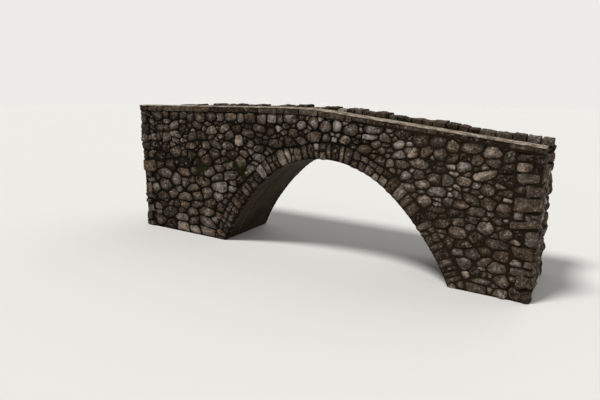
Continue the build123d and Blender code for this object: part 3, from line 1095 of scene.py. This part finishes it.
def dirt_and_shade_group(name):
    """Joint dirt and painted shade low on a stone, next to the joints, where earth gathers and shade falls:
    the mask is 1 less a smooth step of the relief, frayed by noise, over the reach."""
    group, given, sink = new_group(name, ["Colour", "Dirt and shade", "Relief", "Reach"], ["Colour"])
    frayed = calc(group, "ADD", given["Relief"], swing(group, cloud(group, object_place(group), 24.0), 0.7))
    mask = calc(group, "SUBTRACT", 1.0, ease(group, frayed, 0.0, given["Reach"]))
    set_inputs(group, sink, {"Colour": blend(group, mask, given["Colour"], given["Dirt and shade"])})
    return group


def moss_group(name):
    """Moss: patches at chosen places of the front face and wherever broad noise is high, more on ledges
    that face up, with a frayed edge and a fine fuzz."""
    group, given, sink = new_group(name, ["Colour", "Moss", "Amount"], ["Colour", "Height"])
    place = object_place(group)
    spread = calc(group, "MULTIPLY", cloud(group, place, 0.9, 3.0), 0.9)
    spread = calc(group, "ADD", spread, swing(group, cloud(group, place, 8.0, 6.0, 0.65), 1.5))
    for x, z, reach in MOSS_PATCHES:
        away = node(group, "ShaderNodeVectorMath", {0: place, 1: (x, -FACE_Y, z)}, operation="DISTANCE")
        near = calc(group, "SUBTRACT", 1.0, ease(group, away.outputs["Value"], 0.1, reach))
        spread = calc(group, "ADD", spread, calc(group, "MULTIPLY", near, 0.30))
    normal = node(group, "ShaderNodeNewGeometry").outputs["Normal"]
    up = node(group, "ShaderNodeSeparateXYZ", {"Vector": normal}).outputs["Z"]
    spread = calc(group, "ADD", spread, calc(group, "MULTIPLY", up, 0.14))
    start = calc(group, "SUBTRACT", 1.0, given["Amount"])
    mask = ease(group, spread, start, calc(group, "ADD", start, 0.20))
    fuzz = cloud(group, place, 90.0, 3.0, 0.7)
    moss = shaded(group, given["Moss"], ease(group, fuzz, 0.3, 0.7), (0.35, 0.35, 0.35), (1.5, 1.5, 1.5))
    height = calc(group, "MULTIPLY", mask, calc(group, "ADD", 0.5, fuzz))
    set_inputs(group, sink, {"Colour": blend(group, mask, given["Colour"], moss), "Height": height})
    return group


def streak_group(name):
    """Water streaks: noise drawn out upright, which darkens the colour by the strength."""
    group, given, sink = new_group(name, ["Colour", "Strength"], ["Colour", "Wet"])
    drawn = cloud(group, object_place(group, (1, 1, 0.16)), 3.2, 5.0, 0.6)
    wet = calc(group, "MULTIPLY", ease(group, drawn, 0.46, 0.68), given["Strength"])
    colour = blend(group, wet, given["Colour"], (0.30, 0.28, 0.25, 1), "MULTIPLY")
    set_inputs(group, sink, {"Colour": colour, "Wet": wet})
    return group


GROUPS = {
    "Limestone": limestone_group,
    "Joint dirt": dirt_and_shade_group,
    "Moss": moss_group,
    "Water streaks": streak_group,
}


def place_group(tree, name, inputs):
    """Places a shared effect, which is built the first time that a material asks for it."""
    group = bpy.data.node_groups.get(name) or GROUPS[name](name)
    return node(tree, "ShaderNodeGroup", inputs, node_tree=group).outputs


def grow_moss(tree, colour, amount):
    """Moss over a colour."""
    moss = opaque(bpy.context.scene.footbridge_finish.moss)
    return place_group(tree, "Moss", {"Colour": colour, "Moss": moss, "Amount": amount})


def joint_colour(tree):
    """The dirt in the joints, which is drier and paler towards the low bank."""
    finish = bpy.context.scene.footbridge_finish
    along = node(tree, "ShaderNodeSeparateXYZ", {"Vector": object_place(tree)}).outputs["X"]
    return blend(tree, ease(tree, along, *DRY_FROM_TO), opaque(finish.joint_dirt), opaque(finish.dry_dirt))


def start_material(name):
    """A material with one Principled BSDF, ready for its colour, roughness and bump."""
    material = bpy.data.materials.new(name)
    material.use_nodes = True
    tree = material.node_tree
    shader = tree.nodes["Principled BSDF"]
    set_inputs(tree, shader, {"Specular IOR Level": 0.07})
    return material, tree, shader


def finish_material(tree, shader, colour, roughness, height, depth):
    """Feeds the shader its colour, its roughness and a bump of the given depth."""
    bump = node(tree, "ShaderNodeBump", {"Height": height, "Strength": 1.0, "Distance": depth})
    inputs = {"Normal": bump.outputs["Normal"], "Base Color": colour, "Roughness": roughness}
    set_inputs(tree, shader, inputs)


def stone_material(name):
    """Stone that reads its tone, warmth and relief from its own attribute: limestone, then water streaks,
    joint dirt with painted shade towards the joints and the lower rim, and moss. The capping's slabs are
    browner."""
    finish = bpy.context.scene.footbridge_finish
    look = STONE_FINISHES[name]
    middle = finish.slab if name == "capping_slab" else finish.stone_middle
    material, tree, shader = start_material(name)
    own = node(tree, "ShaderNodeAttribute", attribute_name="stone").outputs["Color"]
    tone, warmth, relief = node(tree, "ShaderNodeSeparateColor", {"Color": own}).outputs
    stone = place_group(tree, "Limestone", {
        "Pale": opaque(finish.stone_pale), "Middle": opaque(middle), "Dark": opaque(finish.stone_dark),
        "Tone": tone, "Warmth": warmth, "Crust": look["crust"], "Mottling": look["mottling"],
    })
    wet = place_group(tree, "Water streaks", {"Colour": stone["Colour"], "Strength": look["streaks"]})
    # Painted shade with joint dirt: the stone darkens towards its joints and its lower rim
    dirty_and_shaded = place_group(tree, "Joint dirt", {
        "Colour": wet["Colour"], "Dirt and shade": joint_colour(tree), "Relief": relief, "Reach": look["reach"],
    })
    low_places = calc(tree, "MULTIPLY", calc(tree, "SUBTRACT", 0.5, relief), 0.14)
    mossy = grow_moss(tree, dirty_and_shaded["Colour"], calc(tree, "ADD", low_places, look["moss"]))
    roughness = calc(tree, "SUBTRACT", 0.9, calc(tree, "MULTIPLY", wet["Wet"], 0.3))
    height = calc(tree, "ADD", stone["Height"], mossy["Height"])
    finish_material(tree, shader, mossy["Colour"], roughness, height, look["depth"])
    return material


def bed_material(name):
    """Mortar or earth between stones: one colour clouded from about half its light to half as much again,
    with moss and a rough bump. The paving's bed is earth, and the others are the dirt of the joints."""
    moss, depth = BED_FINISHES[name]
    material, tree, shader = start_material(name)
    place = object_place(tree)
    earth = opaque(bpy.context.scene.footbridge_finish.earth)
    plain = earth if name == "paving_earth" else joint_colour(tree)
    base = shaded(tree, plain, cloud(tree, place, 14.0, 6.0), (0.45, 0.45, 0.45), (1.7, 1.65, 1.6))
    mossy = grow_moss(tree, base, moss)
    height = calc(tree, "SUBTRACT", cloud(tree, place, 30.0, 6.0, 0.7), cells(tree, place, 55.0))
    finish_material(tree, shader, mossy["Colour"], 0.95, calc(tree, "ADD", height, mossy["Height"]), depth)
    return material


def soffit_material(name):
    """Board-marked mortar: grain drawn out along the boards, damp clouds, and lime along the seam. The
    attribute boards holds the run along the arch, the place across it, and how much lime lies there."""
    finish = bpy.context.scene.footbridge_finish
    material, tree, shader = start_material(name)
    own = node(tree, "ShaderNodeAttribute", attribute_name="boards").outputs["Vector"]
    grain_place = node(tree, "ShaderNodeMapping", {"Vector": own, "Scale": (34, 1.6, 0)}).outputs["Vector"]
    grain = cloud(tree, grain_place, 1.0, 6.0, 0.7)
    lime = node(tree, "ShaderNodeSeparateXYZ", {"Vector": own}).outputs["Z"]
    place = object_place(tree)
    boards = ease(tree, grain, 0.3, 0.7)
    base = shaded(tree, opaque(finish.soffit), boards, (0.62, 0.62, 0.60), (1.3, 1.28, 1.22))
    patches = ease(tree, cloud(tree, place, 1.7, 5.0, 0.6), 0.40, 0.66)
    base = blend(tree, calc(tree, "MULTIPLY", patches, 0.6), base, opaque(finish.stone_dark))
    seeped = calc(tree, "MULTIPLY", lime, ease(tree, cloud(tree, place, 12.0, 5.0), 0.25, 0.6))
    base = blend(tree, seeped, base, opaque(finish.lime))
    height = calc(tree, "ADD", calc(tree, "MULTIPLY", grain, 0.6), cloud(tree, place, 30.0, 5.0))
    finish_material(tree, shader, grow_moss(tree, base, 0.10)["Colour"], 0.82, height, 0.004)
    return material


def worn_mortar_material(name):
    """Worn mortar: pale and clouded, with dark lichen spots, hair cracks and a little moss."""
    finish = bpy.context.scene.footbridge_finish
    material, tree, shader = start_material(name)
    place = object_place(tree)
    clouded = ease(tree, cloud(tree, place, 5.0, 8.0, 0.68), 0.34, 0.66)
    base = shaded(tree, opaque(finish.capping), clouded, (0.24, 0.22, 0.19), (1.26, 1.25, 1.23))
    spots = ease(tree, cloud(tree, place, 19.0, 5.0, 0.6), 0.51, 0.61)
    base = blend(tree, calc(tree, "MULTIPLY", spots, 0.85), base, opaque(finish.slab))
    warp = cloud(tree, place, 7.0, 4.0, 0.5, "Color")
    warped = node(tree, "ShaderNodeVectorMath", {0: warp, 1: (0.16, 0.16, 0.16), 2: place},
                  operation="MULTIPLY_ADD").outputs["Vector"]
    from_edge = cells(tree, warped, 2.3, "DISTANCE_TO_EDGE")
    crack = calc(tree, "SUBTRACT", 1.0, ease(tree, from_edge, 0.001, 0.010))
    crack = calc(tree, "MULTIPLY", crack, ease(tree, cloud(tree, place, 1.6, 4.0), 0.50, 0.62))
    crack = calc(tree, "MULTIPLY", crack, 0.8)
    base = blend(tree, crack, base, opaque(finish.joint_dirt))
    height = calc(tree, "SUBTRACT", cloud(tree, place, 26.0, 7.0, 0.65), crack)
    finish_material(tree, shader, grow_moss(tree, base, 0.10)["Colour"], 0.88, height, 0.005)
    return material


BUILDERS = {
    **dict.fromkeys(STONE_FINISHES, stone_material),
    **dict.fromkeys(BED_FINISHES, bed_material),
    "worn_mortar": worn_mortar_material,
    "underside_mortar": soffit_material,
}


class FOOTBRIDGE_OT_mortar_bed(Operator):
    """Give the masses of masonry the mortar and earth that show between their stones"""

    bl_idname = "footbridge.mortar_bed"
    bl_label = "Mortar bed"

    def execute(self, context):
        own = {"capping": bed_material("capping_bed"), "walkway": bed_material("paving_earth")}
        wall = bed_material("wall_mortar")
        for name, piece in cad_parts.items():
            piece.data.materials.clear()
            piece.data.materials.append(own.get(name.split("_")[-1], wall))
        return {"FINISHED"}


class FOOTBRIDGE_OT_wall_stones(Operator):
    """Lay the rubble of both long faces, from the floor and the back of the arch up to the capping"""

    bl_idname = "footbridge.wall_stones"
    bl_label = "Wall stones"

    def execute(self, context):
        sizes = context.scene.footbridge_stones
        for name, side in (("front_wall_stones", -1), ("back_wall_stones", 1)):
            rng = np.random.default_rng(SEEDS[name])
            face = long_face(side)
            marks = np.array(FRONT_MARKS) if side < 0 else np.zeros((0, 6))
            placed = beside_marks(marks, *top_course(rng))
            corner = (LOW_X, CREST_Z + PARAPET_TOP)
            stones = scatter(rng, (HIGH_X, 0), corner, face.edges, WALL_SIZES, placed, face_limits)
            tone, warmth = stone_looks(rng, len(stones[0]))
            # Painted shadow and damp: stones in the upper wall at the high bank, over the arch and by the
            # moss are darker
            tone -= DAMP_AND_SHADOW_DARKENING * damp_and_shadow_wall(stones[0])
            course = slice(len(marks), len(placed[0]))
            tone[course] = np.clip(tone[course] + COURSE_LIGHT, 0, 1)
            tone[:len(marks)], warmth[:len(marks)] = marks[:, 4:].T
            lay_stones(name, stones, face, "wall_stone", "wall_rubble", sizes.joint, (tone, warmth),
                       relief=sizes.wall_relief)
        return {"FINISHED"}


class FOOTBRIDGE_OT_arch_stones(Operator):
    """Set the stones on edge round the arch at both faces, one or two deep"""

    bl_idname = "footbridge.arch_stones"
    bl_label = "Arch stones"

    def execute(self, context):
        sizes = context.scene.footbridge_stones
        for name, side in (("front_arch_stones", -1), ("back_arch_stones", 1)):
            rng = np.random.default_rng(SEEDS[name])
            stones = stones_on_edge(rng)
            looks = stone_looks(rng, len(stones[0]), 0.85)
            # A little painted top light on the arch stones, and feet that joint dirt and painted shade
            # darken only partly
            lay_stones(name, stones, arch_face(side), "arch_stone", "wall_rubble", sizes.joint * 0.8,
                       looks, reach=1.5, relief=sizes.ring_relief, skirt=sizes.ring_depth_in,
                       washed=0.1, foot_wear=0.6)
        return {"FINISHED"}


class FOOTBRIDGE_OT_corner_stones(Operator):
    """Stack the larger stones that turn the four corners of the bridge"""

    bl_idname = "footbridge.corner_stones"
    bl_label = "Corner stones"

    def execute(self, context):
        """A stone runs from a little proud of both faces in to its two lengths, less the joint. Beside the
        walkway it also stands proud of the parapet's inner face."""
        sizes = context.scene.footbridge_stones
        seed = SEEDS["corner_stones"]
        rng = np.random.default_rng(seed)
        gap = sizes.joint / 2
        bodies = []
        for side, across in itertools.product((-1, 1), (-1, 1)):
            length, depth, foot, top = CORNERS[side].T
            proud = rng.uniform(0.20, 0.62, len(foot)) * sizes.wall_relief
            inset = np.where(beside_walkway(top, side), -0.4 * proud, gap)
            x = END_X[side] + side * np.stack([proud, gap - length])
            y = across * np.stack([FACE_Y + proud, FACE_Y - depth + inset])
            z = np.stack([np.maximum(foot + gap, LOWEST_FOOT), top - gap])
            bodies.append(np.stack([x, y, z], axis=-1))
        bodies = np.concatenate(bodies, axis=1)
        shells = rough_blocks(rng, bodies.min(axis=0), bodies.max(axis=0), seed)
        tone, warmth = stone_looks(rng, bodies.shape[1], 0.8)
        lay_shells("corner_stones", shells, (np.minimum(tone, 0.55), warmth), False,
                   "wall_stone")
        return {"FINISHED"}


class FOOTBRIDGE_OT_end_stones(Operator):
    """Lay the rubble of the two ends between their corner stones"""

    bl_idname = "footbridge.end_stones"
    bl_label = "End stones"

    def execute(self, context):
        sizes = context.scene.footbridge_stones
        for name, side in (("high_end_stones", -1), ("low_end_stones", 1)):
            corner = (FACE_Y, float(walkway_z(END_X[side])))
            throw_and_lay(name, bridge_end(side), (-FACE_Y, 0), corner, sizes.joint, sizes.wall_relief)
        return {"FINISHED"}


class FOOTBRIDGE_OT_parapet_stones(Operator):
    """Lay the rubble of the parapets' inner faces"""

    bl_idname = "footbridge.parapet_stones"
    bl_label = "Parapet stones"

    def execute(self, context):
        sizes = context.scene.footbridge_stones
        low, high = (HIGH_X, float(walkway_z(LOW_X))), (LOW_X, CREST_Z + PARAPET_TOP)
        for name, side in (("front_parapet_stones", -1), ("back_parapet_stones", 1)):
            throw_and_lay(name, parapet_inside(side), low, high, sizes.joint, sizes.wall_relief * 0.8)
        return {"FINISHED"}


class FOOTBRIDGE_OT_front_capping(Operator):
    """Lay long flat slabs on the front parapet and spread a straight-edged mortar cover over them"""

    bl_idname = "footbridge.front_capping"
    bl_label = "Front capping"

    def execute(self, context):
        sizes = context.scene.footbridge_stones
        seed = SEEDS["front_capping"]
        rng = np.random.default_rng(seed)
        ends = slab_ends(rng, [FRONT_SLABS[0][0], *(slab[1] for slab in FRONT_SLABS)], 0.68)
        middle = (ends[1:] + ends[:-1]) / 2
        count = len(middle)
        low = PARAPET_TOP + thinner_slabs(middle) + rng.uniform(-0.012, 0.004, count)
        high = np.full(count, CAPPING_TOP - sizes.capping_cover + 0.004)
        shells = slab_shells(rng, -1, ends, low, high, sizes.capping_proud, 0.009)
        tone, warmth = rng.uniform(0.08, 0.5, count), rng.uniform(0.3, 0.9, count)
        for start, end, slab_tone, slab_warmth in FRONT_SLABS:
            inside = (middle > start) & (middle < end)
            tone[inside], warmth[inside] = slab_tone, slab_warmth
        lay_shells("front_capping_slabs", shells, (tone, warmth), True, "capping_slab")
        lay_mortar("front_capping_cover", -1, CAPPING_TOP - sizes.capping_cover, CAPPING_TOP + 0.006, 0.014,
                   seed, "worn_mortar")
        return {"FINISHED"}


class FOOTBRIDGE_OT_back_capping(Operator):
    """Lay rough stones of uneven length and height on the back parapet, in a bed of mortar"""

    bl_idname = "footbridge.back_capping"
    bl_label = "Back capping"

    def execute(self, context):
        sizes = context.scene.footbridge_stones
        seed = SEEDS["back_capping"]
        rng = np.random.default_rng(seed)
        ends = slab_ends(rng, [], 0.27)
        count = len(ends) - 1
        low = PARAPET_TOP + rng.uniform(-0.012, 0.004, count)
        high = CAPPING_TOP + rng.uniform(-0.066, 0.012, count)
        shells = slab_shells(rng, 1, ends, low, high, sizes.capping_proud * 1.8, 0.022, 0.016)
        looks = stone_looks(rng, count, 0.85)
        stones = lay_shells("back_capping_stones", shells, looks, False, "capping_slab")
        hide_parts("back_high_bank_capping", "back_crest_capping", "back_low_bank_capping")
        lay_mortar("back_capping_bed", 1, PARAPET_TOP - 0.01, PARAPET_TOP + 0.022, -0.022,
                   seed, "capping_bed")
        return {"FINISHED"}


class FOOTBRIDGE_OT_paving(Operator):
    """Bed the paving stones of the walkway"""

    bl_idname = "footbridge.paving"
    bl_label = "Paving"

    def execute(self, context):
        sizes = context.scene.footbridge_stones
        rng = np.random.default_rng(SEEDS["paving_stones"])
        face = walkway_face()
        stones = scatter(rng, (HIGH_X, -INNER_Y), (LOW_X, INNER_Y), face.edges, PAVING_SIZES)
        looks = rng.uniform(0.30, 0.62, len(stones[0])), rng.random(len(stones[0]))
        lay_stones("paving_stones", stones, face, "paving_stone", "walkway_paving", sizes.joint, looks,
                   reach=2.2, relief=sizes.paving_relief, flat=(0.8, 1.2), washed=0.0)
        return {"FINISHED"}


class FOOTBRIDGE_OT_soffit(Operator):
    """Spread the board-marked mortar under the arch"""

    bl_idname = "footbridge.soffit"
    bl_label = "Underside of the arch"

    def execute(self, context):
        points, marks = underside_skin(context.scene.footbridge_stones)
        quads = grid_quads(*points.shape[:2])[:, ::-1]
        attribute = "boards", "FLOAT_VECTOR", "vector", marks
        mesh = make_mesh("arch_underside", points, quads, attribute=attribute)
        show(mesh, "underside_mortar")
        return {"FINISHED"}


def place_floor(stage):
    """A wide level floor, as a square of two parameters."""
    side = np.array([-FLOOR_HALF, FLOOR_HALF])
    x, y = np.meshgrid(side, side, indexing="ij")
    mesh = make_mesh("floor", np.stack([x, y, np.zeros_like(x)], axis=-1), grid_quads(2, 2))
    floor = link("floor", mesh)
    material, tree, shader = start_material("floor")
    set_inputs(tree, shader, {"Base Color": opaque(stage.floor), "Roughness": 0.9})
    mesh.materials.append(material)


def place_light(stage):
    """A soft lamp from the upper left of the front, and a weaker, broader one from behind on the right."""
    for name, strength, spread, down, turn in (
        ("front_lamp", stage.lamp_strength, 14, 28, -34),
        ("back_lamp", stage.fill_strength, 60, 48, 150),
    ):
        lamp = link(name, bpy.data.lights.new(name, "SUN"))
        lamp.data.energy = strength
        lamp.data.angle = math.radians(spread)
        lamp.rotation_euler = (math.radians(down), 0, math.radians(turn))


def place_world(scene, stage):
    """Even light all round, behind a backdrop that the camera and reflections see at its own colour."""
    world = bpy.data.worlds.new("even_light")
    scene.world = world
    world.use_nodes = True
    tree = world.node_tree
    tree.nodes.clear()
    path = node(tree, "ShaderNodeLightPath").outputs
    seen = calc(tree, "MAXIMUM", calc(tree, "MAXIMUM", path["Is Camera Ray"], path["Is Glossy Ray"]),
                path["Is Transmission Ray"])
    light = node(tree, "ShaderNodeBackground", {"Color": (1, 1, 1, 1), "Strength": stage.sky_strength})
    shown = node(tree, "ShaderNodeBackground", {"Color": opaque(stage.backdrop), "Strength": 1.0})
    either = node(tree, "ShaderNodeMixShader",
                  {0: seen, 1: light.outputs["Background"], 2: shown.outputs["Background"]})
    node(tree, "ShaderNodeOutputWorld", {"Surface": either.outputs["Shader"]})


def place_camera(scene):
    """The photograph's viewpoint and lens."""
    camera = link("camera", bpy.data.cameras.new("camera"))
    camera.data.sensor_width = 36.0
    camera.data.lens = CAMERA_LENS
    camera.location = CAMERA_PLACE
    camera.rotation_euler = (math.pi / 2 - CAMERA_DOWN, 0, CAMERA_LEFT)
    scene.camera = camera


class FOOTBRIDGE_OT_stage(Operator):
    """Set the floor, the soft light, the pale backdrop and the camera"""

    bl_idname = "footbridge.stage"
    bl_label = "Stage"

    def execute(self, context):
        stage = context.scene.footbridge_stage
        place_floor(stage)
        place_light(stage)
        place_world(context.scene, stage)
        place_camera(context.scene)
        context.scene.view_settings.view_transform = "Standard"
        return {"FINISHED"}


SETTINGS = {
    "footbridge_stones": StoneSettings,
    "footbridge_finish": FinishSettings,
    "footbridge_stage": StageSettings,
}

OPERATORS = (
    FOOTBRIDGE_OT_mortar_bed,
    FOOTBRIDGE_OT_wall_stones,
    FOOTBRIDGE_OT_arch_stones,
    FOOTBRIDGE_OT_corner_stones,
    FOOTBRIDGE_OT_end_stones,
    FOOTBRIDGE_OT_parapet_stones,
    FOOTBRIDGE_OT_front_capping,
    FOOTBRIDGE_OT_back_capping,
    FOOTBRIDGE_OT_paving,
    FOOTBRIDGE_OT_soffit,
    FOOTBRIDGE_OT_stage,
)


class FOOTBRIDGE_PT_sidebar(Panel):
    """The steps that dress the bridge, in order, and the values they read."""

    bl_idname = "FOOTBRIDGE_PT_sidebar"
    bl_label = "Footbridge"
    bl_space_type = "VIEW_3D"
    bl_region_type = "UI"
    bl_category = "Footbridge"

    def draw(self, context):
        for operator in OPERATORS:
            self.layout.operator(operator.bl_idname)
        for group in SETTINGS:
            settings = getattr(context.scene, group)
            box = self.layout.box()
            for name in settings.__annotations__:
                box.prop(settings, name)


def register():
    """Registers the settings, the operators and the panel."""
    for name, group in SETTINGS.items():
        bpy.utils.register_class(group)
        setattr(bpy.types.Scene, name, PointerProperty(type=group))
    for operator in OPERATORS:
        bpy.utils.register_class(operator)
    bpy.utils.register_class(FOOTBRIDGE_PT_sidebar)


def unregister():
    """Takes away what register added, in the opposite order."""
    bpy.utils.unregister_class(FOOTBRIDGE_PT_sidebar)
    for operator in reversed(OPERATORS):
        bpy.utils.unregister_class(operator)
    for name, group in reversed(SETTINGS.items()):
        delattr(bpy.types.Scene, name)
        bpy.utils.unregister_class(group)


def main():
    register()
    bpy.ops.footbridge.mortar_bed()
    bpy.ops.footbridge.wall_stones()
    bpy.ops.footbridge.arch_stones()
    bpy.ops.footbridge.corner_stones()
    bpy.ops.footbridge.end_stones()
    bpy.ops.footbridge.parapet_stones()
    bpy.ops.footbridge.front_capping()
    bpy.ops.footbridge.back_capping()
    bpy.ops.footbridge.paving()
    bpy.ops.footbridge.soffit()
    bpy.ops.footbridge.stage()


if __name__ == "__main__":
    main()
